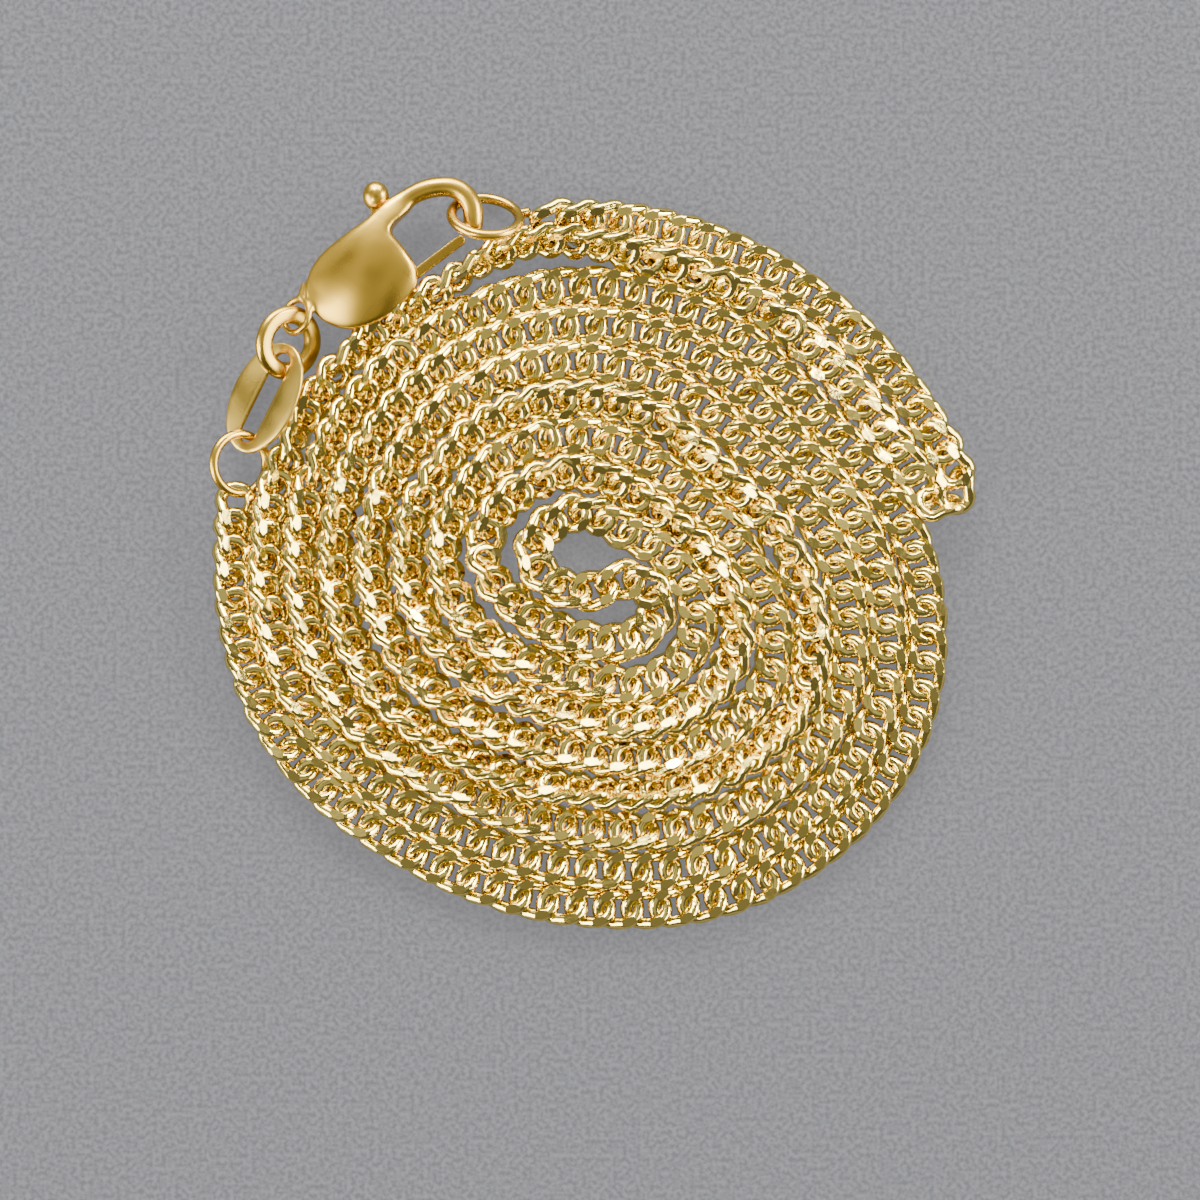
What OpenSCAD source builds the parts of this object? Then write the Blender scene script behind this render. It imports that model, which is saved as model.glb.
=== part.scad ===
// Gold curb chain necklace, folded double and laid down in a flat coil, with its clasp fastened.
// Millimetres, +Z up. The coil rests on z = 0 and the origin is under the middle of its bounding box.

/* [Chain] */
// Width of the chain's solid body, without the scalloped edges of the links
chain_w = 1.4; // [1.0:0.05:1.4]
// Thickness of the chain where it lies flat
chain_h = 0.9; // [0.6:0.05:1.0]
// Height that the chain's first end climbs to, at the ring in the hook
end_lift = 0.3; // [0:0.05:0.6]

/* [Clasp] */
// Thickness of the clasp's body at its middle
clasp_t = 2.0; // [1.8:0.1:2.2]
// Height of the clasp's middle plane above the surface
clasp_z = 1.45; // [1.4:0.05:1.5]
// Radius of the hook's round wire
hook_r = 0.46; // [0.4:0.01:0.5]
// Thickness of the lever
lever_t = 0.45; // [0.4:0.01:0.5]
// Radius of the thumb knob on the lever
knob_r = 0.5; // [0.4:0.05:0.6]
// Radius of the lever's pin
pin_r = 0.2; // [0.15:0.01:0.22]

/* [Rings] */
// Wire radius of the ring in the hook
hook_ring_wire = 0.21; // [0.18:0.01:0.23]
// Mean radius of the ring in the hook
hook_ring_r = 1.45; // [1.4:0.05:1.5]
// Mean radius of the flattened ring between clasp and tag
tag_ring_r = 1.25; // [1.2:0.05:1.3]
// Wire radius of the ring between tag and chain
end_ring_wire = 0.2; // [0.16:0.01:0.22]
// Mean radius of the ring between tag and chain
end_ring_r = 1.3; // [1.2:0.05:1.35]

/* [Tag] */
// Length of the oval tag
tag_l = 5.2; // [5.0:0.1:5.4]
// Width of the oval tag
tag_w = 3.1; // [2.9:0.1:3.2]
// Thickness of the tag
tag_t = 0.28; // [0.2:0.02:0.3]
// Width of the slot along the tag
slot_w = 0.85; // [0.8:0.01:0.9]

/* [Hidden] */
$fn = 48;
gold = "#c9a24a";
gold_dark = "#a98436";

// The coil's centre, seen from the middle of the bounding box
coil_centre = [-0.57, -0.34];

// Radius of the outer strand: a row for each turn from the outside in, a column every 30 degrees
//             0    30    60    90   120   150   180   210   240   270   300   330
outer_turns = [
    [17.6, 15.7, 15.3, 15.1, 15.4, 15.6, 15.4, 15.4, 14.9, 15.2, 16.2, 16.3],
    [14.8, 12.3, 12.0, 12.1, 11.9, 12.2, 12.4, 12.2, 11.5, 11.8, 12.9, 13.0],
    [11.2,  9.0,  8.6,  8.8,  8.9,  9.1,  9.3,  8.9,  8.4,  8.5,  9.6,  9.7],
    [ 7.3,  5.6,  5.3,  5.5,  5.7,  5.9,  6.1,  5.6,  5.1,  5.2,  6.2,  5.9],
    [ 4.0,  2.4,  2.1,  2.1,  2.1,  2.2,  2.2,  1.7,  1.5,  1.4,  1.5,  1.8]];
// Radius of the inner strand, in the same rows and columns
inner_turns = [
    [15.4, 14.0, 13.6, 13.6, 13.4, 13.7, 13.9, 13.8, 13.3, 13.5, 14.6, 14.6],
    [12.9, 10.6, 10.4, 10.4, 10.4, 10.7, 10.9, 10.6, 10.0, 10.1, 11.1, 11.4],
    [ 9.3,  7.2,  7.0,  7.1,  7.3,  7.5,  7.7,  7.2,  6.7,  6.8,  7.9,  7.8],
    [ 5.5,  4.0,  3.7,  3.9,  4.0,  4.3,  4.3,  3.6,  3.3,  3.5,  4.1,  4.2]];
column_step = 30;
outer_radii = [for (row = outer_turns) each row];
inner_radii = [for (row = inner_turns) each row];

// Running angles, counted on through the turns, where the two strands start, fold and end
first_end = 98;
outer_fold = 12;
last_end = 171;
inner_fold = 1395;
one_turn = 360;
fold_steps = 4;
sides = 8;
// Chords between the columns cut inside the curve, so the rings stand out by half of what they lose
chord_gain = (1 + 1 / cos(column_step / 2)) / 2;

// Clasp: places in its own plane, u from the tail towards the hook and v towards the thumb knob
clasp_at = [-11.89, 11.01];
clasp_turn = 39.5;
body_outline = [
    [6.2, 1.5], [4.6, 1.45], [3.1, 1.55], [1.8, 1.55], [0.85, 1.2], [0.3, 0.65], [0.05, 0.0], [0.1, -0.8],
    [0.6, -1.65], [1.5, -2.2], [2.5, -2.42], [3.4, -2.42], [4.1, -2.25], [4.55, -1.85], [4.8, -1.3],
    [4.85, -0.1], [4.8, 0.25], [5.1, 0.5], [5.7, 0.52], [6.3, 0.62]];
outline_steps = 3;
crown_across_r = 3.5;
crown_along_r = 8;
crown_at = [3.4, -0.25];
crown_turn = 15;
hook_far_centre = [6.07, -1.91];
hook_far_r = 2.98;
hook_near_r = 1.23;
hook_top_angle = 50.6;
hook_root_angle = 99;
hook_near_turn = 90;
hook_tip_straight = 0.4;
// The two arcs of the hook share a tangent where they meet
hook_joint = hook_far_centre + hook_far_r * [cos(hook_top_angle), sin(hook_top_angle)];

// Lever: its pin, thumb arm and gate, in the clasp's plane
pivot = [3.4, -1.2];
hub_r = 0.5;
pin_gap = 0.04;
arm_w = 0.44;
knob_at = [5.35, 2.03];
arm_bend = [4.72, 1.3];
gate_root = [4.5, -1.72];
gate_tip = [6.98, -1.83];
lever_z = clasp_z - 0.28;
lever_gap = 0.08;
gate_travel = 18;
// Share of the gate's length that the slot's mouth runs along it
gate_mouth = 0.4;

// Tail loop: a round eye behind the clasp, leaning so that the flattened ring runs through it
tail_at = [-0.68, 0.16];
tail_r = 0.75;
tail_wire = 0.18;
tail_lean = 40;
tail_axis = 33.5;
tail_neck_r = 0.24;
tail_neck_l = 0.75;

// Rings and tag: centre in the coil's frame, turn about Z, lean
hook_ring_at = [-4.23, 15.05, 1.44];
hook_ring_turn = -8;
hook_ring_lean = 51.5;
hook_ring_neck_at = 25;
hook_ring_neck_r = 0.24;
hook_ring_neck_l = 0.6;
tag_ring_at = [-12.89, 9.53, 1.3];
tag_ring_turn = 72;
tag_ring_lean = 40;
tag_ring_half = 0.15;
tag_ring_wire = 0.25;
tag_at = [-13.9, 7.11, 1.11];
tag_turn = 63;
tag_lean = 28;
tag_rise = 6.4;
tag_fold = 4;
slot_l = 4.3;
end_ring_at = [-15.04, 4.24, 1.07];
end_ring_turn = 84;
end_ring_lean = 35;

// A smooth curve through a closed loop of points, with as many steps between each two of them
function blend(a, b, c, d, t) =
    (2 * b + (c - a) * t + (2 * a - 5 * b + 4 * c - d) * t * t + (3 * b - a - 3 * c + d) * t * t * t) / 2;
function smooth_loop(points, steps) = [
    for (i = [0 : len(points) - 1], k = [0 : steps - 1])
        blend(points[(i + len(points) - 1) % len(points)], points[i], points[(i + 1) % len(points)],
            points[(i + 2) % len(points)], k / steps)];

// Radius of a strand at a running angle, read between the columns of its table
function clamped(radii, i) = radii[max(0, min(len(radii) - 1, i))];
function strand_r(radii, a) =
    let (i = floor(a / column_step), t = a / column_step - i)
    blend(clamped(radii, i - 1), clamped(radii, i), clamped(radii, i + 1), clamped(radii, i + 2), t) * chord_gain;
function strand_point(radii, a) = strand_r(radii, a) * [cos(a), sin(a)];

// Stations along a strand: its end, each column between, and its fold
function columns_down(from, to) = [for (a = [floor(from / column_step) : -1 : ceil(to / column_step)])
    if (a * column_step < from && a * column_step > to) a * column_step];
function reversed(list) = [for (i = [len(list) - 1 : -1 : 0]) list[i]];

// A section of the tube is its centre, the direction of its left side, and how far it is lifted
function fold_sections(p, q, start, turn) = [
    for (k = [1 : fold_steps - 1])
        let (side = start + turn * k / fold_steps, sign = turn < 0 ? 1 : -1)
        [(p + q) / 2 + sign * norm(p - q) / 2 * [cos(side), sin(side)], side, 0]];
function lift(a, from) = end_lift * max(0, 1 - abs(a - from) / column_step);
route = concat(
    [for (a = concat([first_end], columns_down(first_end, outer_fold), [outer_fold]))
        [strand_point(outer_radii, a), a, lift(a, first_end)]],
    fold_sections(strand_point(outer_radii, outer_fold), strand_point(inner_radii, outer_fold), outer_fold, -180),
    [for (a = concat([outer_fold], reversed(columns_down(inner_fold, outer_fold)), [inner_fold]))
        [strand_point(inner_radii, a), a + 180, 0]],
    fold_sections(strand_point(inner_radii, inner_fold), strand_point(outer_radii, inner_fold + one_turn),
        inner_fold + 180, 180),
    [for (a = concat([inner_fold + one_turn], columns_down(inner_fold + one_turn, last_end), [last_end]))
        [strand_point(outer_radii, a), a, 0]]);

// One flattened octagon of the tube, with a flat side on the surface
function section(s) = [
    for (k = [0 : sides - 1])
        let (a = (k + 0.5) * 360 / sides, side = chain_w / 2 * cos(a) / cos(180 / sides),
            up = chain_h / 2 * (1 + sin(a) / cos(180 / sides)))
        [s[0].x + side * cos(s[1]), s[0].y + side * sin(s[1]), up + s[2]]];

module chain() {
    points = [for (s = route) each section(s)];
    rings = len(route);
    walls = [for (i = [0 : rings - 2], k = [0 : sides - 1])
        let (a = i * sides + k, b = i * sides + (k + 1) % sides)
        each [[a, b + sides, b], [a, a + sides, b + sides]]];
    first_cap = [for (k = [0 : sides - 1]) k];
    last_cap = [for (k = [sides - 1 : -1 : 0]) (rings - 1) * sides + k];
    color(gold)
    translate(coil_centre) polyhedron(points, concat(walls, [first_cap, last_cap]), convexity = 12);
}

// Everything of the clasp is drawn in its own plane and set down here
module in_clasp() {
    translate([coil_centre.x + clasp_at.x, coil_centre.y + clasp_at.y, 0]) rotate(clasp_turn) children();
}

// A bar with a lens for its section: the crown that the clasp's faces follow in one direction
module crown(radius, turn) {
    half = 8;
    translate([crown_at.x, crown_at.y, clasp_z]) rotate(turn) rotate([90, 0, 0])
    intersection() {
        translate([0, clasp_t / 2 - radius, -half]) cylinder(h = 2 * half, r = radius, $fn = 96);
        translate([0, radius - clasp_t / 2, -half]) cylinder(h = 2 * half, r = radius, $fn = 96);
    }
}

// A direction's right-hand side, and a point turned about the lever's pin
function right_of(d) = [d.y, -d.x] / norm(d);
function about_pin(p, angle) =
    let (d = p - pivot)
    pivot + [d.x * cos(angle) - d.y * sin(angle), d.x * sin(angle) + d.y * cos(angle)];

// The room that an arm with one bend sweeps, from rest to its full travel
function swept(bend, end) =
    let (room = arm_w / 2 + lever_gap, far_bend = about_pin(bend, gate_travel), far_end = about_pin(end, gate_travel))
    [pivot + room * right_of(bend - pivot), bend + room * right_of(bend - pivot),
        end + room * right_of(end - bend), far_end - room * right_of(far_end - far_bend),
        far_bend - room * right_of(far_bend - pivot), pivot - room * right_of(far_bend - pivot)];

// The hollow that the lever lies and swings in, open at the thumb's side and at the gate's
module lever_slot() {
    height = lever_t + 2 * lever_gap;
    translate([0, 0, lever_z - height / 2]) linear_extrude(height) {
        translate(pivot) circle(hub_r + lever_gap);
        polygon(swept(arm_bend, knob_at));
        polygon(swept(gate_root, gate_root + gate_mouth * (gate_tip - gate_root)));
    }
}

// A flat bar with round ends from p to q
module bar(p, q, width) {
    d = q - p;
    translate(p) circle(width / 2);
    translate(q) circle(width / 2);
    translate(p) rotate(atan2(d.y, d.x)) translate([0, -width / 2]) square([norm(d), width]);
}

// The hook's wire: a wide arc back to the body, a tight arc round to the tip, and a rounded end
module hook() {
    translate([hook_joint.x, hook_joint.y, clasp_z]) rotate(hook_top_angle) {
        translate([-hook_far_r, 0, 0]) rotate_extrude(angle = hook_root_angle - hook_top_angle)
            translate([hook_far_r, 0]) circle(hook_r);
        translate([-hook_near_r, 0, 0]) rotate(-hook_near_turn) {
            rotate_extrude(angle = hook_near_turn) translate([hook_near_r, 0]) circle(hook_r);
            translate([hook_near_r, 0, 0]) rotate([90, 0, 0]) {
                cylinder(h = hook_tip_straight, r = hook_r);
                translate([0, 0, hook_tip_straight]) sphere(hook_r);
            }
        }
    }
}

// The eye leans about its own diameter, and a short neck on that diameter joins it to the body
module tail_loop() {
    translate([tail_at.x, tail_at.y, clasp_z]) rotate(tail_axis) {
        rotate([-tail_lean, 0, 0]) rotate_extrude() translate([tail_r, 0]) circle(tail_wire);
        translate([tail_r, 0, 0]) rotate([0, 90, 0]) cylinder(h = tail_neck_l, r = tail_neck_r);
    }
}

module clasp_body() {
    color(gold)
    in_clasp() {
        difference() {
            union() {
                intersection() {
                    translate([0, 0, clasp_z - clasp_t / 2]) linear_extrude(clasp_t)
                        polygon(smooth_loop(body_outline, outline_steps));
                    crown(crown_across_r, crown_turn + 90);
                    crown(crown_along_r, crown_turn);
                }
                hook();
                tail_loop();
            }
            lever_slot();
        }
        translate([pivot.x, pivot.y, lever_z - lever_t]) cylinder(h = 2 * lever_t, r = pin_r);
    }
}

module clasp_lever() {
    color(gold_dark)
    in_clasp() {
        translate([0, 0, lever_z - lever_t / 2]) linear_extrude(lever_t) difference() {
            union() {
                translate(pivot) circle(hub_r);
                bar(pivot, arm_bend, arm_w);
                bar(arm_bend, knob_at, arm_w);
                bar(pivot, gate_root, arm_w);
                bar(gate_root, gate_tip, arm_w);
            }
            translate(pivot) circle(pin_r + pin_gap);
        }
        translate([knob_at.x, knob_at.y, lever_z]) sphere(knob_r);
    }
}

// A ring is a round wire, turned about Z and leaned over its own X axis
module set_down(at, turn, lean) {
    translate([coil_centre.x + at.x, coil_centre.y + at.y, at.z]) rotate(turn) rotate([lean, 0, 0]) children();
}

// A short solder neck on the ring's side meets the chain's first link
module hook_ring() {
    color(gold)
    set_down(hook_ring_at, hook_ring_turn, -hook_ring_lean) {
        rotate_extrude() translate([hook_ring_r, 0]) circle(hook_ring_wire);
        rotate(hook_ring_neck_at) translate([hook_ring_r, 0, 0]) rotate([0, 90, 0])
            cylinder(h = hook_ring_neck_l, r = hook_ring_neck_r);
    }
}

module tag_ring() {
    color(gold_dark)
    set_down(tag_ring_at, tag_ring_turn, tag_ring_lean)
        rotate_extrude() translate([tag_ring_r, 0]) bar([-tag_ring_half, 0], [tag_ring_half, 0], 2 * tag_ring_wire);
}

// Half of the tag, on one side of the slight fold along its slot
module tag_half(side) {
    rotate([side * tag_fold, 0, 0]) translate([0, 0, -tag_t / 2]) linear_extrude(tag_t) difference() {
        intersection() {
            scale([1, tag_w / tag_l]) circle(tag_l / 2);
            translate([-tag_l, side > 0 ? 0 : -tag_l]) square([2 * tag_l, tag_l]);
        }
        bar([-(slot_l - slot_w) / 2, 0], [(slot_l - slot_w) / 2, 0], slot_w);
    }
}

module tag() {
    color(gold)
    translate([coil_centre.x + tag_at.x, coil_centre.y + tag_at.y, tag_at.z]) rotate(tag_turn)
    rotate([-tag_lean, -tag_rise, 0]) {
        tag_half(1);
        tag_half(-1);
    }
}

module end_ring() {
    color(gold)
    set_down(end_ring_at, end_ring_turn, end_ring_lean)
        rotate_extrude() translate([end_ring_r, 0]) circle(end_ring_wire);
}

chain();
clasp_body();
clasp_lever();
hook_ring();
tag_ring();
tag();
end_ring();
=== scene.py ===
# %% [markdown]
# # A gold curb chain necklace, coiled flat
# The necklace is one long chain of interlocking oval links. It has been folded double and wound into a
# flat coil, and its lobster clasp is hooked to the ring on its other end, outside the coil.
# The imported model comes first: it gives the clasp, rings and tag their places, and a plain tube along the
# chain's route. This lesson hangs real links on that route and gives every piece its gold.

import bpy
import numpy as np
from mathutils import Matrix, Vector


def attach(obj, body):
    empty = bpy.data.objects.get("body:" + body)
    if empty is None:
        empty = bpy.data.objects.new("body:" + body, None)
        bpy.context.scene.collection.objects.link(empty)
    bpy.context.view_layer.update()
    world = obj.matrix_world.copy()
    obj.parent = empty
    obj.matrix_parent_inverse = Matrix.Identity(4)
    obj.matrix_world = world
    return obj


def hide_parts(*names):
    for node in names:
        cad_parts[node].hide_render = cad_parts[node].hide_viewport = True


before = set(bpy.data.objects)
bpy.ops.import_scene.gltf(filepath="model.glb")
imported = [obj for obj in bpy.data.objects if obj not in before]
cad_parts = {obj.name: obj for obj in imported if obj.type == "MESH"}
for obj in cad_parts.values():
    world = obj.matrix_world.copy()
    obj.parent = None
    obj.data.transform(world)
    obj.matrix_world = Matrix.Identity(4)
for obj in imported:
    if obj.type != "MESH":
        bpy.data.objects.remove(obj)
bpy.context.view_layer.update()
MM = 0.001
rng = np.random.default_rng(20)
print("nodes:", sorted(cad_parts))

# %% [markdown]
# ## The camera
# The necklace lies on a table and is seen from straight above. A long lens keeps the outer turns from
# leaning away. The picture is 52.9 mm wide at the height of the chain, and its middle is a little below
# the coil's.

# %% Camera over the coil
PICTURE_WIDTH = 52.86 * MM
PICTURE_MIDDLE = np.array([0.22, -2.10]) * MM
CHAIN_TOP = 0.8 * MM
camera_data = bpy.data.cameras.new("camera")
camera_data.lens = 100
camera_data.sensor_width = 36
camera_data.clip_start = 0.005
camera_data.clip_end = 10
camera = bpy.data.objects.new("camera", camera_data)
distance = PICTURE_WIDTH * camera_data.lens / camera_data.sensor_width
camera.location = (PICTURE_MIDDLE[0], PICTURE_MIDDLE[1], CHAIN_TOP + distance)
bpy.context.scene.collection.objects.link(camera)
bpy.context.scene.camera = camera
print("camera is %.0f mm above the chain" % (distance / MM))

# %% [markdown]
# ## Colours and nodes
# Colours are written as the hex values that a picture shows, and one function turns them to the linear
# values that the shader counts with. One more function adds a node with its settings, its fixed inputs and
# the sockets that feed it, so each material below reads as a short list.


# %% Two helpers for materials
def linear(hex_colour):
    """sRGB to linear: v / 12.92 below 0.04045, and ((v + 0.055) / 1.055) to the power 2.4 above it."""
    values = np.array([int(hex_colour[i:i + 2], 16) for i in (1, 3, 5)]) / 255
    low = values / 12.92
    high = ((values + 0.055) / 1.055) ** 2.4
    return (*np.where(values <= 0.04045, low, high), 1.0)


def add(tree, kind, values=None, links=None, **settings):
    """A node of that kind: settings are its own properties, values its fixed inputs, links what feeds it."""
    node = tree.nodes.new(kind)
    for name, value in settings.items():
        setattr(node, name, value)
    for name, value in (values or {}).items():
        node.inputs[name].default_value = value
    for name, socket in (links or {}).items():
        tree.links.new(socket, node.inputs[name])
    return node


def new_material(name):
    """An empty node material, and its tree."""
    material = bpy.data.materials.new(name)
    material.use_nodes = True
    material.node_tree.nodes.clear()
    return material, material.node_tree


# %% [markdown]
# ## Gold
# Fourteen carat yellow gold is a bare metal: all of its colour is in its reflections, so it is fully
# metallic and needs no coat. Machine-made links are tumbled, which leaves a soft waviness a few tenths of a
# millimetre wide and a fine grain. Castings such as the clasp are polished by hand, so their waves are
# longer and shallower. The tag is cut from rolled sheet, which is a shade paler and duller. The roughness
# drifts a little over the surface, as handled gold's does.


# %% One gold, in three finishes
def gold(name, colour, deep_colour, wave_mm, wave_depth, roughness):
    """Metal whose colour drifts between two golds, with waves of wave_mm and a grain a tenth as wide."""
    material, tree = new_material(name)
    place = add(tree, "ShaderNodeTexCoord").outputs["Object"]
    waves = add(tree, "ShaderNodeTexNoise", {"Scale": 1 / (wave_mm * MM), "Detail": 2.0}, {"Vector": place})
    grain = add(tree, "ShaderNodeTexNoise", {"Scale": 10 / (wave_mm * MM), "Detail": 1.0}, {"Vector": place})
    both = add(tree, "ShaderNodeMath", {1: 0.12}, {0: grain.outputs["Fac"], 2: waves.outputs["Fac"]},
               operation="MULTIPLY_ADD")
    bump = add(tree, "ShaderNodeBump", {"Strength": 1.0, "Distance": wave_depth * MM},
               {"Height": both.outputs[0]})
    tint = add(tree, "ShaderNodeMix", {"A": linear(colour), "B": linear(deep_colour)}, data_type="RGBA")
    tree.links.new(waves.outputs["Fac"], tint.inputs["Factor"])
    rough = add(tree, "ShaderNodeMapRange", {"From Min": 0.3, "From Max": 0.7, "To Min": roughness * 0.7,
                                             "To Max": roughness * 1.3}, {"Value": waves.outputs["Fac"]})
    metal = add(tree, "ShaderNodeBsdfPrincipled", {"Metallic": 1.0},
                {"Base Color": tint.outputs["Result"], "Roughness": rough.outputs["Result"],
                 "Normal": bump.outputs["Normal"]})
    add(tree, "ShaderNodeOutputMaterial", links={"Surface": metal.outputs["BSDF"]})
    return material


link_gold = gold("tumbled_14_carat_gold", "#F6DF76", "#EDCF64", 0.35, 0.010, 0.10)
cast_gold = gold("hand_polished_cast_gold", "#D0AA40", "#C89F38", 3.0, 0.006, 0.28)
sheet_gold = gold("rolled_sheet_gold", "#E2BE54", "#DAB44C", 3.0, 0.006, 0.32)
print("golds:", link_gold.name, cast_gold.name, sheet_gold.name)

# %% [markdown]
# ## Surfaces
# Every new piece is a surface worked out as a whole array of points: a closed section carried round or
# along a path. The grid of points then becomes four-sided faces. Where the path closes on itself the last
# row is joined to the first one, and where it doesn't, each end gets a cap.


# %% From a grid of points to a mesh
def grid_quads(rows, columns, closed):
    """A face between rows i and i + 1 and columns k and k + 1, all the way round each row."""
    i = np.arange(rows if closed else rows - 1)[:, None]
    k = np.arange(columns)[None, :]
    corner = (i % rows) * columns + k
    beyond = ((i + 1) % rows) * columns + k
    step = (k + 1) % columns - k
    return np.stack([corner, beyond, beyond + step, corner + step], axis=-1).reshape(-1, 4)


def tilt(turn, lean):
    """Turn about Z after a lean about X: the product of the two rotation matrices."""
    a, b = np.radians(turn), np.radians(lean)
    about_z = np.array([[np.cos(a), -np.sin(a), 0], [np.sin(a), np.cos(a), 0], [0, 0, 1]])
    about_x = np.array([[1, 0, 0], [0, np.cos(b), -np.sin(b)], [0, np.sin(b), np.cos(b)]])
    return about_z @ about_x


def make_piece(name, points, quads, material, caps=()):
    """A smooth mesh object at the origin, given its gold."""
    mesh = bpy.data.meshes.new(name)
    faces = [tuple(q) for q in quads.tolist()] + [tuple(c) for c in caps]
    mesh.from_pydata(points.reshape(-1, 3).tolist(), [], faces)
    mesh.validate()
    mesh.polygons.foreach_set("use_smooth", np.ones(len(mesh.polygons), bool))
    mesh.materials.append(material)
    mesh.update()
    piece = bpy.data.objects.new(name, mesh)
    bpy.context.scene.collection.objects.link(piece)
    return piece


# %% [markdown]
# ## The chain's route
# Both strands of the folded chain are spirals round one centre. A table gives each strand's distance from
# the centre every 30 degrees: a row for each turn from the outside in. Between the columns a cubic curve
# runs through them, so the route is smooth although the table is short.
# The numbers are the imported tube's. Only the outermost turn is eased by one to three tenths of a millimetre,
# and by five at the fold, because the links are wider than the tube. The ends go on to their rings, too.

# %% Two strands and two folds
COIL_CENTRE = np.array([-0.57, -0.34])
OUTER_TURNS = np.array([
    [17.5, 16.0, 15.2, 15.0, 15.4, 15.6, 15.4, 15.4, 14.9, 15.3, 16.3, 16.4],
    [14.8, 12.3, 12.0, 12.1, 11.9, 12.2, 12.4, 12.2, 11.5, 11.8, 12.9, 13.0],
    [11.2, 9.0, 8.6, 8.8, 8.9, 9.1, 9.3, 8.9, 8.4, 8.5, 9.6, 9.7],
    [7.3, 5.6, 5.3, 5.5, 5.7, 5.9, 6.1, 5.6, 5.1, 5.2, 6.2, 5.9],
    [4.0, 2.4, 2.1, 2.1, 2.1, 2.2, 2.2, 1.7, 1.5, 1.4, 1.5, 1.8]])
INNER_TURNS = np.array([
    [15.9, 14.15, 13.6, 13.6, 13.4, 13.7, 13.9, 13.8, 13.3, 13.6, 14.7, 14.8],
    [12.9, 10.6, 10.4, 10.4, 10.4, 10.7, 10.9, 10.6, 10.0, 10.1, 11.1, 11.4],
    [9.3, 7.2, 7.0, 7.1, 7.3, 7.5, 7.7, 7.2, 6.7, 6.8, 7.9, 7.8],
    [5.5, 4.0, 3.7, 3.9, 4.0, 4.3, 4.3, 3.6, 3.3, 3.5, 4.1, 4.2]])
COLUMN_STEP = 30
# Running angles where the strands start, fold and end, and how far each fold bulges
FIRST_END, OUTER_FOLD, LAST_END, INNER_FOLD = 99, 12, 166.7, 1395
OUTER_BULGE, INNER_BULGE = 1.3, 1.0


def strand(rows, angles, swells=()):
    """Points at those running angles, in mm. Between two columns the radius is the cubic that has both
    columns' values and, at each, the slope between its two neighbours. A swell is a local bell on top."""
    radii = rows.ravel()
    i = np.floor(angles / COLUMN_STEP).astype(int)
    t = angles / COLUMN_STEP - i
    a, b, c, d = (radii[np.clip(i + k, 0, len(radii) - 1)] for k in (-1, 0, 1, 2))
    r = (2 * b + (c - a) * t + (2 * a - 5 * b + 4 * c - d) * t ** 2 + (3 * b - a - 3 * c + d) * t ** 3) / 2
    for at, height, half_width in swells:
        r = r + height * np.exp(-((angles - at) / half_width) ** 2)
    turn = np.radians(angles)
    return COIL_CENTRE + r[:, None] * np.column_stack([np.cos(turn), np.sin(turn)])


def fold(p, q, direction, depth, steps=24):
    """Half an ellipse from p to q: the middle, plus a spoke that turns through 180 degrees and is depth times
    as long when it lies crossways."""
    spoke = p - (p + q) / 2
    turn = np.radians(180) * direction * np.arange(1, steps) / steps
    across = np.array([-spoke[1], spoke[0]]) * depth
    return (p + q) / 2 + np.cos(turn)[:, None] * spoke + np.sin(turn)[:, None] * across


# The inner strand stands out in a small bow beside the clasp, and draws in a little by the lever's gate.
# Each swell has its place in degrees, its height in mm and its half width in degrees.
bow = [(100, 0.65, 15), (120, -0.15, 8)]
first_angles = np.arange(FIRST_END, OUTER_FOLD, -1.0)
inner_angles = np.arange(OUTER_FOLD, INNER_FOLD, 1.0)
last_angles = np.arange(INNER_FOLD + 360, LAST_END, -1.0)
first_run = strand(OUTER_TURNS, first_angles)
inner_run = strand(INNER_TURNS, inner_angles, bow)
last_run = strand(OUTER_TURNS, last_angles)
outer_fold = fold(first_run[-1], inner_run[0], -1, OUTER_BULGE)
inner_fold = fold(inner_run[-1], last_run[0], 1, INNER_BULGE)
route = np.vstack([first_run, outer_fold, inner_run, inner_fold, last_run])
print("route drawn through", len(route), "points")

# %% [markdown]
# ## How the strands lie
# A curb chain is a flat ribbon of metal, 1.8 mm wide and under a millimetre thick. The outer strand of
# each pair lies nearly flat, and the inner one has been squeezed up on its edge by its neighbours, so its
# outer edge is raised. Links turn on edge where the chain doubles back, because it can't bend in its own
# plane. Each stretch of the route therefore carries a bank angle, and the ribbon's height follows from it.

# %% Even steps along the route, with a bank for each
# Degrees by which the outer edge is raised, in the radius tables' places
OUTER_BANKS = np.array([
    [45, 8, 4, 36, 60, 18, 40, 14, 5, 5, 5, 5],
    [5, 6, 6, 8, 26, 44, 48, 40, 30, 20, 16, 14],
    [8, 6, 6, 8, 24, 44, 48, 46, 42, 34, 26, 16],
    [8, 6, 8, 16, 26, 40, 44, 44, 34, 22, 12, 8],
    [12, 18, 28, 30, 30, 30, 30, 24, 20, 20, 20, 20]])
INNER_BANKS = np.array([
    [40, 18, 36, 54, 58, 50, 46, 16, 5, 5, 5, 8],
    [10, 6, 6, 8, 24, 44, 48, 48, 46, 44, 44, 44],
    [42, 40, 38, 38, 42, 48, 48, 48, 46, 42, 40, 40],
    [40, 38, 34, 34, 38, 44, 44, 38, 26, 14, 8, 8]])
OUTER_FOLD_BANK, INNER_FOLD_BANK = 60, -30


def banks(rows, angles):
    """Straight lines between the table's columns."""
    return np.interp(angles, np.arange(rows.size) * COLUMN_STEP, rows.ravel())


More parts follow.
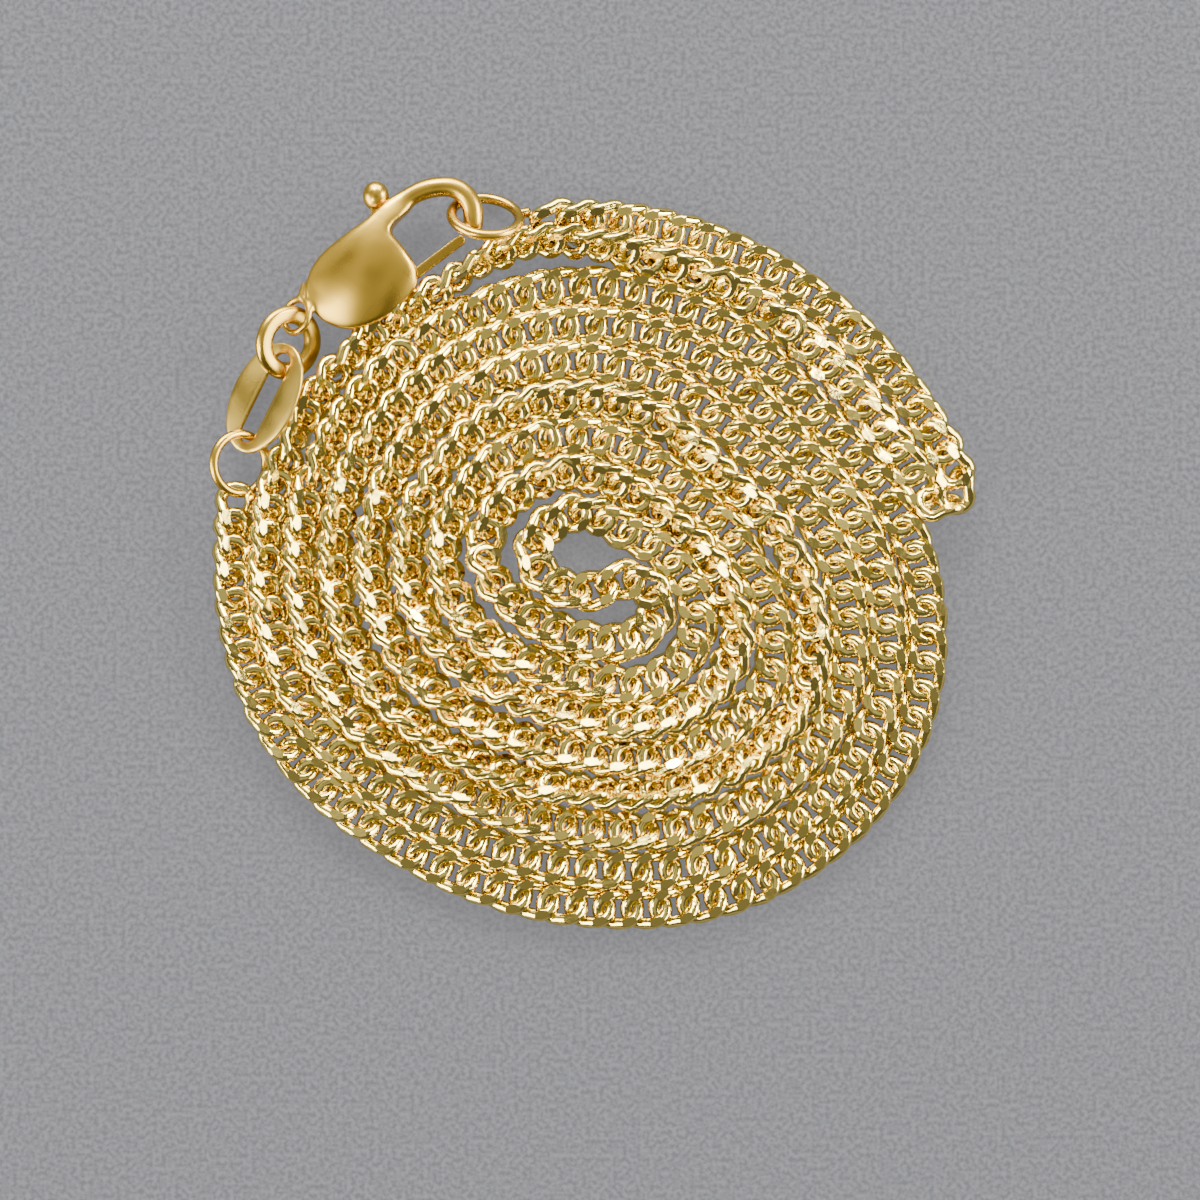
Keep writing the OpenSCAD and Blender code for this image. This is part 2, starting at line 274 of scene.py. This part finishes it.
# Raising the outer edge is a turn one way on a strand that runs clockwise and the other way on the other
bank = np.concatenate([banks(OUTER_BANKS, first_angles), np.full(len(outer_fold), OUTER_FOLD_BANK),
                       -banks(INNER_BANKS, inner_angles), np.full(len(inner_fold), INNER_FOLD_BANK),
                       banks(OUTER_BANKS, last_angles)])


def even_steps(points, extra, step):
    """The line and its extra column at equal arc lengths, read from the summed lengths between points."""
    lengths = np.concatenate([[0], np.cumsum(np.linalg.norm(np.diff(points, axis=0), axis=1))])
    count = int(lengths[-1] / step)
    at = np.linspace(0, lengths[-1], count)
    columns = [np.interp(at, lengths, column) for column in (*points.T, extra)]
    return np.column_stack(columns[:2]), columns[2], at


def smooth(values, reach):
    """A running mean with a bell for weights; the ends are carried on in a straight line."""
    width = 3 * reach
    bell = np.exp(-0.5 * (np.arange(-width, width + 1) / reach) ** 2)
    bell /= bell.sum()
    before = values[0] + (values[0] - values[1:width + 1][::-1])
    after = values[-1] + (values[-1] - values[-width - 1:-1][::-1])
    return np.convolve(np.concatenate([before, values, after]), bell, "valid")


# Step along the route in mm, and how many steps the line and its bank are smoothed over
STEP, LINE_REACH, BANK_REACH = 0.05, 6, 24
line, line_bank, line_at = even_steps(route, bank, STEP)
line = np.column_stack([smooth(line[:, 0], LINE_REACH), smooth(line[:, 1], LINE_REACH)])
line_bank = smooth(line_bank, BANK_REACH)
line, line_bank, line_at = even_steps(line, line_bank, STEP)
print("chain route is %.1f mm long" % line_at[-1])

# %% [markdown]
# ## One link
# A curb link is a long ring of round wire that has been twisted, so it lies flat in the next one. Both ends
# keep their shape and lean opposite ways, and the sides between them take the twist. So going round it, the
# wire is high at two opposite corners and low at the other two, and each high corner passes over the low
# corner of its neighbour. A diamond cutter then takes a thin slice off the top and the bottom of the whole
# chain, which leaves small flat mirrors at the high and low corners.
# A link repeated four hundred times has to be light: twenty-four stations with eight sides each.

# %% The link's shape
LINK_WIDE, WIRE, PITCH = 1.84, 0.54, 1.255
LINK_LONG = PITCH + 2 * WIRE
CORNER_RISE, TWIST_LENGTH = 0.27, 0.2
CUT_HEIGHT, LEAST_CUT = 0.42, 0.06
SQUARENESS = 0.86
STATIONS, SIDES = 24, 8
# An eight-sided wire has the round wire's section area when its radius is larger by this factor
OCTAGON_FACTOR = 1.054
FACET_RADIUS = WIRE / 2 * OCTAGON_FACTOR


def power(value, exponent):
    """The power of the size, with the sign kept."""
    return np.sign(value) * np.abs(value) ** exponent


def link_shape():
    """Centre line: x = a cos^p t, y = b sin^p t (a rounded rectangle when p is below 1), and the height is
    minus h y / b tanh(x / l). Each station carries a ring of eight points at the wire's radius. Where the
    line comes near the cut, the two outermost points are moved onto it and spread to half of the slice's
    width: the root of radius squared less gap squared."""
    t = 2 * np.pi * (np.arange(STATIONS) + 0.5) / STATIONS
    a = (LINK_LONG - WIRE) / 2
    b = (LINK_WIDE - WIRE) / 2
    x = a * power(np.cos(t), SQUARENESS)
    y = b * power(np.sin(t), SQUARENESS)
    centre = np.column_stack([x, y, -CORNER_RISE * y / b * np.tanh(x / TWIST_LENGTH)])
    along = np.roll(centre, -1, axis=0) - np.roll(centre, 1, axis=0)
    along /= np.linalg.norm(along, axis=1)[:, None]
    up = np.array([0, 0, 1.0]) - along[:, 2:] * along
    up /= np.linalg.norm(up, axis=1)[:, None]
    out = np.cross(along, up)
    side = 2 * np.pi * (np.arange(SIDES) + 0.5) / SIDES
    ring = centre[:, None] + FACET_RADIUS * (np.cos(side)[None, :, None] * out[:, None]
                                             + np.sin(side)[None, :, None] * up[:, None])
    gap = CUT_HEIGHT - np.abs(centre[:, 2])
    spread = np.sqrt(np.maximum((WIRE / 2) ** 2 - gap ** 2, LEAST_CUT ** 2))
    near_cut = (gap < WIRE / 2)[:, None]
    outermost = np.sin(side)[None, :] * np.sign(centre[:, 2])[:, None] > 0.7
    cut = near_cut & outermost
    flat = centre[:, None] + np.sign(np.cos(side))[None, :, None] * spread[:, None, None] * out[:, None]
    flat[..., 2] = (np.sign(centre[:, 2]) * CUT_HEIGHT)[:, None]
    return np.where(cut[..., None], flat, ring), cut


shape, shape_is_cut = link_shape()
print("one link:", STATIONS * SIDES, "faces,", int(shape_is_cut.sum()), "points on the cuts")

# %% [markdown]
# ## Four hundred links
# Links sit one pitch apart along the route, and a little closer where the chain is slack and has tipped on
# its edge. Each is turned to the route's direction there and banked about it, with a slight turn of its own,
# because links are loose in each other. All of them are placed in one product of arrays. The chain is shown
# as two pieces, one for each half of it.

# %% Links on the route
half_link = LINK_LONG / 2
SLACK, STEEP_BANK = 0.13, 45
local_pitch = PITCH - SLACK * np.clip(np.abs(line_bank) / STEEP_BANK, 0, 1)
# Links passed so far: the sum of each step over the pitch there
passed = np.concatenate([[0], np.cumsum(np.diff(line_at) / local_pitch[1:])])
first, last = np.interp([half_link, line_at[-1] - half_link], line_at, passed)
links = int(round(last - first)) + 1
link_at = np.interp(np.linspace(first, last, links), passed, line_at)
turn_about = rng.normal(0, 1, (links, 2))


def at_links(values):
    """The values of a column of the route, read at the links' middles."""
    return np.interp(link_at, line_at, values)


middle = np.column_stack([at_links(line[:, 0]), at_links(line[:, 1])])
heading = np.gradient(line, axis=0)
direction = np.column_stack([at_links(heading[:, 0]), at_links(heading[:, 1]), np.zeros(links)])
direction /= np.linalg.norm(direction, axis=1)[:, None]
left = np.cross([0, 0, 1.0], direction)
# Steep links have more room to lean than those that lie flat; degrees when flat, and what steepness adds
FLAT_ROLL, STEEP_ROLL, FLAT_YAW, STEEP_YAW = 2.5, 6, 1.5, 2
steep = np.abs(at_links(line_bank)) / STEEP_BANK
roll = np.radians(at_links(line_bank) + (FLAT_ROLL + STEEP_ROLL * steep) * turn_about[:, 0])
yaw = np.radians((FLAT_YAW + STEEP_YAW * steep) * turn_about[:, 1])
along = np.cos(yaw)[:, None] * direction + np.sin(yaw)[:, None] * left
left = np.cross([0, 0, 1.0], along)
across = np.cos(roll)[:, None] * left + np.array([0, 0, 1.0]) * np.sin(roll)[:, None]
top = np.cross(along, across)
# Height of the middle: the low edge of the banked ribbon rests on the table, but the first links rise to
# the ring in the hook
rest_height = LINK_WIDE / 2 * np.abs(np.sin(roll)) + CUT_HEIGHT * np.cos(roll)
END_LIFT, LIFT_REACH = 0.3, 8.0
rest_height += END_LIFT * np.clip(1 - link_at / LIFT_REACH, 0, 1)
centres = np.column_stack([middle, rest_height])
axes = np.stack([along, across, top], axis=1)
points = (centres[:, None] + np.einsum("kj,nji->nki", shape.reshape(-1, 3), axes)) * MM
print(links, "links, %.2f to %.2f mm apart" % (np.diff(link_at).min(), np.diff(link_at).max()))

# %% [markdown]
# The wire is shaded smooth, but the cuts have crisp borders. So each edge that has a cut face on one side
# only is marked sharp, and the light breaks there as it does on the real facets.

# %% Two pieces of chain
link_size = STATIONS * SIDES
link_quads = grid_quads(STATIONS, SIDES, closed=True)
on_cut = shape_is_cut.ravel()
quad_on_cut = on_cut[link_quads].all(axis=1)
print(int(quad_on_cut.sum()), "cut faces on each link")


def sharpen_cuts(mesh):
    """Counts, for each edge, the cut faces beside it: an edge with exactly one is a border."""
    face_edges = np.zeros(len(mesh.loops), np.int32)
    mesh.loops.foreach_get("edge_index", face_edges)
    cut_faces = np.tile(quad_on_cut, len(mesh.polygons) // len(quad_on_cut))
    beside = np.bincount(face_edges.reshape(-1, 4)[cut_faces].ravel(), minlength=len(mesh.edges))
    layer = mesh.attributes.new("sharp_edge", "BOOLEAN", "EDGE")
    layer.data.foreach_set("value", beside == 1)


CHAIN_PIECES = 2
for number, members in enumerate(np.array_split(np.arange(links), CHAIN_PIECES)):
    quads = (link_quads[None] + (np.arange(len(members)) * link_size)[:, None, None]).reshape(-1, 4)
    piece = make_piece("chain_links_%d" % (number + 1), points[members], quads, link_gold)
    sharpen_cuts(piece.data)
    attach(piece, "necklace")
    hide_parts("chain")
    print(piece.name, len(members), "links,", len(members) * link_size * 2, "triangles")

# %% [markdown]
# ## The clasp
# A lobster clasp is cast in one piece: a plump body, a hook and an eye. Its lever turns on a pin in a slot
# inside it. The slot, bore and hook meet in ways that no single grid of points gives, so these two pieces
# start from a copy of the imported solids. The copy is wrapped in an even skin and smoothed, which rounds
# its edges as casting and polishing do, and it stays exactly where the solid is.


# %% Cast pieces from their solids
WELD_REACH, SMOOTHING, SOFTER_PASSES = 0.002, 0.5, 80


def through_modifiers(mesh, modifiers):
    """The mesh after a list of (kind, settings) has been applied to it, as a new mesh."""
    blank = bpy.data.objects.new("blank", mesh)
    bpy.context.scene.collection.objects.link(blank)
    for kind, settings in modifiers:
        modifier = blank.modifiers.new(kind.lower(), kind)
        for name, value in settings.items():
            setattr(modifier, name, value)
    graph = bpy.context.evaluated_depsgraph_get()
    finished = bpy.data.meshes.new_from_object(blank.evaluated_get(graph))
    bpy.data.objects.remove(blank)
    return finished


def positions(mesh):
    """All corners as an array with a row for each."""
    flat = np.zeros(len(mesh.vertices) * 3, np.float32)
    mesh.vertices.foreach_get("co", flat)
    return flat.reshape(-1, 3)


def cast_from(node, name, skin_mm, passes, body, reshape=None, softer_share=None):
    """Copy in mm, merge the corners, wrap in a skin of small squares, reshape, smooth, and return to metres.
    softer_share says how much of the softer passes each point takes."""
    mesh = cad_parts[node].data.copy()
    mesh.transform(Matrix.Scale(1 / MM, 4))
    mesh = through_modifiers(mesh, [("WELD", {"merge_threshold": WELD_REACH}),
                                    ("REMESH", {"mode": "VOXEL", "voxel_size": skin_mm})])
    if reshape:
        mesh.vertices.foreach_set("co", reshape(positions(mesh)).ravel())
    mesh = through_modifiers(mesh, [("SMOOTH", {"factor": SMOOTHING, "iterations": passes})])
    if softer_share:
        before = positions(mesh)
        softest = through_modifiers(mesh, [("SMOOTH", {"factor": SMOOTHING, "iterations": SOFTER_PASSES})])
        softer = positions(softest)
        mesh.vertices.foreach_set("co", (before + softer_share(before)[:, None] * (softer - before)).ravel())
    mesh.transform(Matrix.Scale(MM, 4))
    mesh.polygons.foreach_set("use_smooth", np.ones(len(mesh.polygons), bool))
    mesh.materials.clear()
    mesh.materials.append(cast_gold)
    mesh.name = name
    piece = bpy.data.objects.new(name, mesh)
    bpy.context.scene.collection.objects.link(piece)
    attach(piece, body)
    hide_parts(node)
    print(name, len(mesh.polygons), "faces")


# %% [markdown]
# The solid's two broad faces are each two barrels that meet in a crease. A polisher's wheel leaves one soft
# dome instead, so the crossed barrels are turned into their product, which has no crease anywhere.

# %% Clasp and lever
CLASP_AT, CLASP_TURN, CLASP_HEIGHT = np.array([-11.89, 11.01]), 39.5, 1.45
CROWN_AT, CROWN_TURN, CROWN_ACROSS, CROWN_ALONG = np.array([3.4, -0.25]), 15, 3.5, 8.0
# Where the dome fades in beyond the eye and out before the hook, in mm along the clasp
FADE_IN, FADE_OUT, FADE_OUT_LENGTH = 0.6, 6.4, 1.6
WIDEST = 3.2


def barrel(distance, radius):
    """Height of a barrel of that radius whose top is 1 mm up, at a distance from its ridge."""
    return np.sqrt(radius ** 2 - np.clip(distance, -WIDEST, WIDEST) ** 2) - radius + 1


def one_dome(points):
    """Both barrels' heights are worked out; scaling a height by the larger one turns their minimum into
    their product. The change fades out towards the hook and the eye."""
    local = points[:, :2] - COIL_CENTRE - CLASP_AT
    a = np.radians(-CLASP_TURN)
    local = local @ np.array([[np.cos(a), np.sin(a)], [-np.sin(a), np.cos(a)]])
    b = np.radians(CROWN_TURN)
    away = local - CROWN_AT
    along = away @ np.array([np.cos(b), np.sin(b)])
    across = away @ np.array([-np.sin(b), np.cos(b)])
    larger = np.maximum(barrel(across, CROWN_ACROSS), barrel(along, CROWN_ALONG))
    share = (np.clip(local[:, 0] / FADE_IN, 0, 1)
             * np.clip((FADE_OUT - local[:, 0]) / FADE_OUT_LENGTH, 0, 1))
    scaled = points.copy()
    scaled[:, 2] = CLASP_HEIGHT + (points[:, 2] - CLASP_HEIGHT) * (1 + share * (larger - 1))
    return scaled


def on_clasp(x, y):
    """A point of the clasp's own plan, in the necklace's."""
    a = np.radians(CLASP_TURN)
    return np.array([np.cos(a) * x - np.sin(a) * y, np.sin(a) * x + np.cos(a) * y]) + CLASP_AT + COIL_CENTRE


HOOK_ROOT, BODY_MIDDLE = np.array([6.2, 1.1]), np.array([3.0, -0.3])
RIM_HALF, RIM_FADE = 0.35, 0.3


def near(points, place, reach):
    """One within half of the reach of a place on the clasp's plan, fading to nought at one and a half."""
    return np.clip(1.5 - np.linalg.norm(points[:, :2] - on_clasp(*place), axis=1) / reach, 0, 1)


def soft_places(points):
    """The root of the hook, and the two broad faces but not the rim between them."""
    off_rim = np.clip((np.abs(points[:, 2] - CLASP_HEIGHT) - RIM_HALF) / RIM_FADE, 0, 1)
    return np.maximum(near(points, HOOK_ROOT, 0.9), near(points, BODY_MIDDLE, 3.2) * off_rim)


cast_from("clasp_body", "clasp_casting", 0.06, 40, "necklace", one_dome, soft_places)
cast_from("clasp_lever", "lever_casting", 0.035, 6, "lever")

# %% [markdown]
# The lever's knob was pressed between two dies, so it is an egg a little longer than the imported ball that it
# covers. It turns with the lever.

# %% Thumb knob
KNOB_AT, KNOB_HEIGHT, KNOB_HALVES = np.array([5.35, 2.03]), 1.17, np.array([0.66, 0.58, 0.52])
KNOB_TURN, KNOB_RINGS, KNOB_AROUND = 60, 25, 32


def end_caps(rows, columns):
    """The first row, read backwards, and the last row of a grid, as two faces."""
    return [list(range(columns))[::-1], list(range((rows - 1) * columns, rows * columns))]


def knob_points():
    """An egg: (a cos v cos u, b cos v sin u, c sin v), with its long axis at 60 degrees to the clasp's."""
    v = np.pi * (np.arange(1, KNOB_RINGS + 1) / (KNOB_RINGS + 1) - 0.5)
    u = 2 * np.pi * np.arange(KNOB_AROUND) / KNOB_AROUND
    egg = np.stack([np.cos(v)[:, None] * np.cos(u), np.cos(v)[:, None] * np.sin(u),
                    np.broadcast_to(np.sin(v)[:, None], (KNOB_RINGS, KNOB_AROUND))], axis=-1) * KNOB_HALVES
    return (egg @ tilt(CLASP_TURN + KNOB_TURN, 0).T + np.array([*on_clasp(*KNOB_AT), KNOB_HEIGHT])) * MM


knob_quads = grid_quads(KNOB_RINGS, KNOB_AROUND, closed=False)[:, ::-1]
thumb_knob = make_piece("thumb_knob", knob_points(), knob_quads, cast_gold,
                        end_caps(KNOB_RINGS, KNOB_AROUND))
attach(thumb_knob, "lever")
print("thumb knob is %.1f mm across" % (2 * KNOB_HALVES[0]))

# %% [markdown]
# ## Rings
# Jump rings are wire bent round a bar and soldered shut. A ring is a circle carried round a larger circle.
# The ring between the clasp and the tag has been rolled flat, so a stadium shape goes round instead: two
# half circles with straight sides between them.


# %% Rings in their places
def stadium(half, radius, count):
    """Points round two half circles whose middles are half away from the centre, each way."""
    angle = 2 * np.pi * (np.arange(count) + 0.5) / count
    return np.column_stack([radius * np.cos(angle) + half * np.sign(np.cos(angle)), radius * np.sin(angle)])


RING_STATIONS = 72


def ring_points(at, turn, lean, mean_radius, section):
    """Each section point goes round as ((R + x) cos t, (R + x) sin t, y), and then the ring is placed."""
    t = 2 * np.pi * np.arange(RING_STATIONS) / RING_STATIONS
    reach = mean_radius + section[None, :, 0]
    ring = np.stack([reach * np.cos(t)[:, None], reach * np.sin(t)[:, None],
                     np.broadcast_to(section[None, :, 1], (RING_STATIONS, len(section)))], axis=-1)
    return (ring @ tilt(turn, lean).T + np.array([*COIL_CENTRE, 0]) + at) * MM


def place_ring(name, node, at, turn, lean, mean_radius, section):
    """A ring piece that stands for its node."""
    ring = ring_points(np.array(at), turn, lean, mean_radius, section)
    quads = grid_quads(RING_STATIONS, len(section), closed=True)[:, ::-1]
    piece = make_piece(name, ring, quads, cast_gold)
    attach(piece, "necklace")
    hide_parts(node)


place_ring("jump_ring_by_tag", "end_ring", [-15.04, 4.24, 1.07], 84, 35, 1.3, stadium(0, 0.20, 20))
place_ring("flattened_ring", "tag_ring", [-12.89, 9.53, 1.3], 72, 40, 1.25, stadium(0.15, 0.25, 24))
print("two rings placed")

# %% [markdown]
# The ring in the hook also carries a short neck of solder, which joins it to the chain's first link. The
# neck is a round bar along one of the ring's spokes, and its radius changes on the way.

# %% The ring in the hook, with its solder neck
HOOK_RING_AT = np.array([-4.23, 15.05, 1.44])
HOOK_RING_TURN, HOOK_RING_LEAN, HOOK_RING_RADIUS = -8, -51.5, 1.5
place_ring("jump_ring_in_hook", "hook_ring", HOOK_RING_AT, HOOK_RING_TURN, HOOK_RING_LEAN,
           HOOK_RING_RADIUS, stadium(0, 0.23, 20))
NECK_AT, NECK_LENGTH, NECK_RADIUS, NECK_AROUND = 25, 0.6, 0.24, 16
neck_turn = np.radians(NECK_AT)
# The neck swells from the wire to its full radius and is rounded off at its far end
reach = HOOK_RING_RADIUS + NECK_LENGTH * np.array([-0.2, 0.1, 0.4, 0.75, 0.93, 1.0])
swell = NECK_RADIUS * np.array([0.75, 0.85, 0.85, 1.0, 0.8, 0.35])
spin = 2 * np.pi * np.arange(NECK_AROUND) / NECK_AROUND
spoke = np.array([np.cos(neck_turn), np.sin(neck_turn), 0])
sideways = np.array([-np.sin(neck_turn), np.cos(neck_turn), 0])
neck = (reach[:, None, None] * spoke
        + swell[:, None, None] * (np.cos(spin)[None, :, None] * sideways
                                  + np.sin(spin)[None, :, None] * np.array([0, 0, 1.0])))
neck = (neck @ tilt(HOOK_RING_TURN, HOOK_RING_LEAN).T + np.array([*COIL_CENTRE, 0]) + HOOK_RING_AT) * MM
neck_quads = grid_quads(len(reach), NECK_AROUND, closed=False)[:, ::-1]
solder_neck = make_piece("solder_neck", neck, neck_quads, cast_gold,
                         end_caps(len(reach), NECK_AROUND))
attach(solder_neck, "necklace")
print("solder neck reaches %.2f mm from the ring's middle" % reach[-1])

# %% [markdown]
# ## The tag
# The tag is a thin oval of sheet with a long slot. It is stamped, so its edges are rounded over, and it is
# bent a little along its length. As a surface it is a ring too: a thin rounded section runs from the
# slot's edge to the oval's, and that section goes once round the slot.

# %% The oval tag
TAG_AT = np.array([-13.9, 7.11, 1.11])
TAG_TURN, TAG_LEAN, TAG_RISE, TAG_FOLD = 63, -28, -6.4, 4
TAG_LONG, TAG_WIDE, TAG_THICK, SLOT_LONG, SLOT_WIDE = 5.2, 3.4, 0.28, 4.3, 0.85
ROUND_STATIONS, SECTION_POINTS = 96, 20
# Share of a point's distance along the oval at which its section starts on the slot, and how round the
# section's ends are
SLOT_SHARE, SECTION_POWER = 0.9, 0.6


def tag_points():
    """For each direction t, the slot's edge is a stadium point and the oval's is (a cos t, b sin t). The
    section between them is a rounded bar: how far across goes as a power of a cosine, and its height as the
    fourth root of one less that to the fourth power, times half of the sheet's thickness."""
    t = 2 * np.pi * (np.arange(ROUND_STATIONS) + 0.5) / ROUND_STATIONS
    oval = np.column_stack([TAG_LONG / 2 * np.cos(t), TAG_WIDE / 2 * np.sin(t)])
    straight = (SLOT_LONG - SLOT_WIDE) / 2
    on_line = np.clip(oval[:, 0] * SLOT_SHARE, -straight, straight)
    away = oval - np.column_stack([on_line, np.zeros_like(on_line)])
    away /= np.linalg.norm(away, axis=1)[:, None]
    slot = np.column_stack([on_line, np.zeros_like(on_line)]) + SLOT_WIDE / 2 * away
    u = 2 * np.pi * (np.arange(SECTION_POINTS) + 0.5) / SECTION_POINTS
    share = 0.5 + 0.5 * power(np.cos(u), SECTION_POWER)
    height = TAG_THICK / 2 * np.sign(np.sin(u)) * (1 - np.abs(2 * share - 1) ** 4) ** 0.25
    flat = slot[:, None] * (1 - share)[None, :, None] + oval[:, None] * share[None, :, None]
    z = height[None, :] + np.tan(np.radians(TAG_FOLD)) * np.abs(flat[..., 1])
    return np.concatenate([flat, z[..., None]], axis=-1)


def rise(angle):
    """Rotation about Y."""
    a = np.radians(angle)
    return np.array([[np.cos(a), 0, np.sin(a)], [0, 1, 0], [-np.sin(a), 0, np.cos(a)]])


tag_place = tilt(TAG_TURN, 0) @ rise(TAG_RISE) @ tilt(0, TAG_LEAN)
tag_shape = (tag_points() @ tag_place.T + np.array([*COIL_CENTRE, 0]) + TAG_AT) * MM
tag_quads = grid_quads(ROUND_STATIONS, SECTION_POINTS, closed=True)[:, ::-1]
stamped_tag = make_piece("stamped_tag", tag_shape, tag_quads, sheet_gold)
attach(stamped_tag, "necklace")
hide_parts("tag")
print("tag box from", np.round(tag_shape.min((0, 1)) / MM, 2), "to", np.round(tag_shape.max((0, 1)) / MM, 2))

# %% [markdown]
# ## The table
# The necklace lies on a pale grey sheet of matt opal, as on a light table: half of its brightness comes from
# beneath, so the openings between the links stay light, and there is next to no shadow.


# %% Pale card
CARD_GRAIN, CARD_HALF = 0.2 * MM, 1.0


def card_material():
    """A matt sheet with a grain of about a fifth of a millimetre, and an even glow of its own."""
    material, tree = new_material("matt_grey_card")
    place = add(tree, "ShaderNodeTexCoord").outputs["Object"]
    fibre = add(tree, "ShaderNodeTexNoise", {"Scale": 1 / CARD_GRAIN, "Detail": 3.0}, {"Vector": place})
    steep = add(tree, "ShaderNodeMapRange", {"From Min": 0.36, "From Max": 0.64},
                {"Value": fibre.outputs["Fac"]})
    tint = add(tree, "ShaderNodeMix", {"A": linear("#1F1F21"), "B": linear("#454547")}, data_type="RGBA")
    tree.links.new(steep.outputs["Result"], tint.inputs["Factor"])
    paper = add(tree, "ShaderNodeBsdfPrincipled", {"Roughness": 0.9, "Specular IOR Level": 0.2,
                                                   "Emission Color": linear("#7D7D81"),
                                                   "Emission Strength": 1.0},
                {"Base Color": tint.outputs["Result"]})
    add(tree, "ShaderNodeOutputMaterial", links={"Surface": paper.outputs["BSDF"]})
    return material


card_mesh = bpy.data.meshes.new("card")
card_corners = [(x * CARD_HALF, y * CARD_HALF, 0) for x, y in ((-1, -1), (1, -1), (1, 1), (-1, 1))]
card_mesh.from_pydata(card_corners, [], [(0, 1, 2, 3)])
card_mesh.materials.append(card_material())
card = bpy.data.objects.new("card", card_mesh)
bpy.context.scene.collection.objects.link(card)

# %% [markdown]
# ## The light
# Small shiny things take their looks from what stands round them. Bright soft walls beyond, at the left and
# at the right make the white bars along the links' bends, and three small strong lamps make the sparks on
# single facets. Dim panels overhead give the broad gold of the clasp and the tag. Straight above it is
# darkest, so the links' level cuts mirror a deep olive, and the side towards the viewer has no wall at all.


# %% Soft walls, dim panels and small lamps
def soft_wall(name, place_mm, wide_mm, high_mm, radiance):
    """A rectangle of even light that faces the coil: its power is pi times area times radiance."""
    data = bpy.data.lights.new(name, "AREA")
    data.shape = "RECTANGLE"
    data.size = wide_mm * MM
    data.size_y = high_mm * MM
    data.energy = np.pi * data.size * data.size_y * radiance
    wall = bpy.data.objects.new(name, data)
    wall.location = Vector(place_mm) * MM
    wall.rotation_mode = "QUATERNION"
    wall.rotation_quaternion = (-Vector(place_mm)).to_track_quat("-Z", "Y")
    bpy.context.scene.collection.objects.link(wall)


# Name, place, width, height and radiance; the coil is at the centre and the camera straight above it
LIGHTS = [
    ("panel_over", (0, 0, 310), 150, 150, 0.1),
    ("panel_beyond", (0, 137, 280), 260, 150, 0.45),
    ("panel_left", (-137, 0, 280), 200, 150, 0.45),
    ("panel_right", (137, 0, 280), 200, 150, 0.4),
    ("panel_near", (0, -137, 280), 260, 150, 0.35),
    ("wall_beyond", (0, 290, 120), 370, 185, 15.0),
    ("wall_corner", (-210, 200, 130), 160, 180, 0.8),
    ("wall_left", (-275, -100, 110), 260, 170, 14.0),
    ("wall_right", (290, 20, 110), 280, 170, 12.5),
    ("lamp_beyond", (-40, 240, 180), 70, 50, 60.0),
    ("lamp_left", (-158, -110, 230), 50, 50, 55.0),
    ("lamp_right", (240, 90, 150), 60, 60, 50.0)]
for light in LIGHTS:
    soft_wall(*light)
world = bpy.data.worlds.new("studio")
world.use_nodes = True
world.node_tree.nodes["Background"].inputs["Color"].default_value = linear("#8F9096")
world.node_tree.nodes["Background"].inputs["Strength"].default_value = 0.5
bpy.context.scene.world = world
print(len(LIGHTS), "lights and a dim room, shown with", bpy.context.scene.view_settings.view_transform)
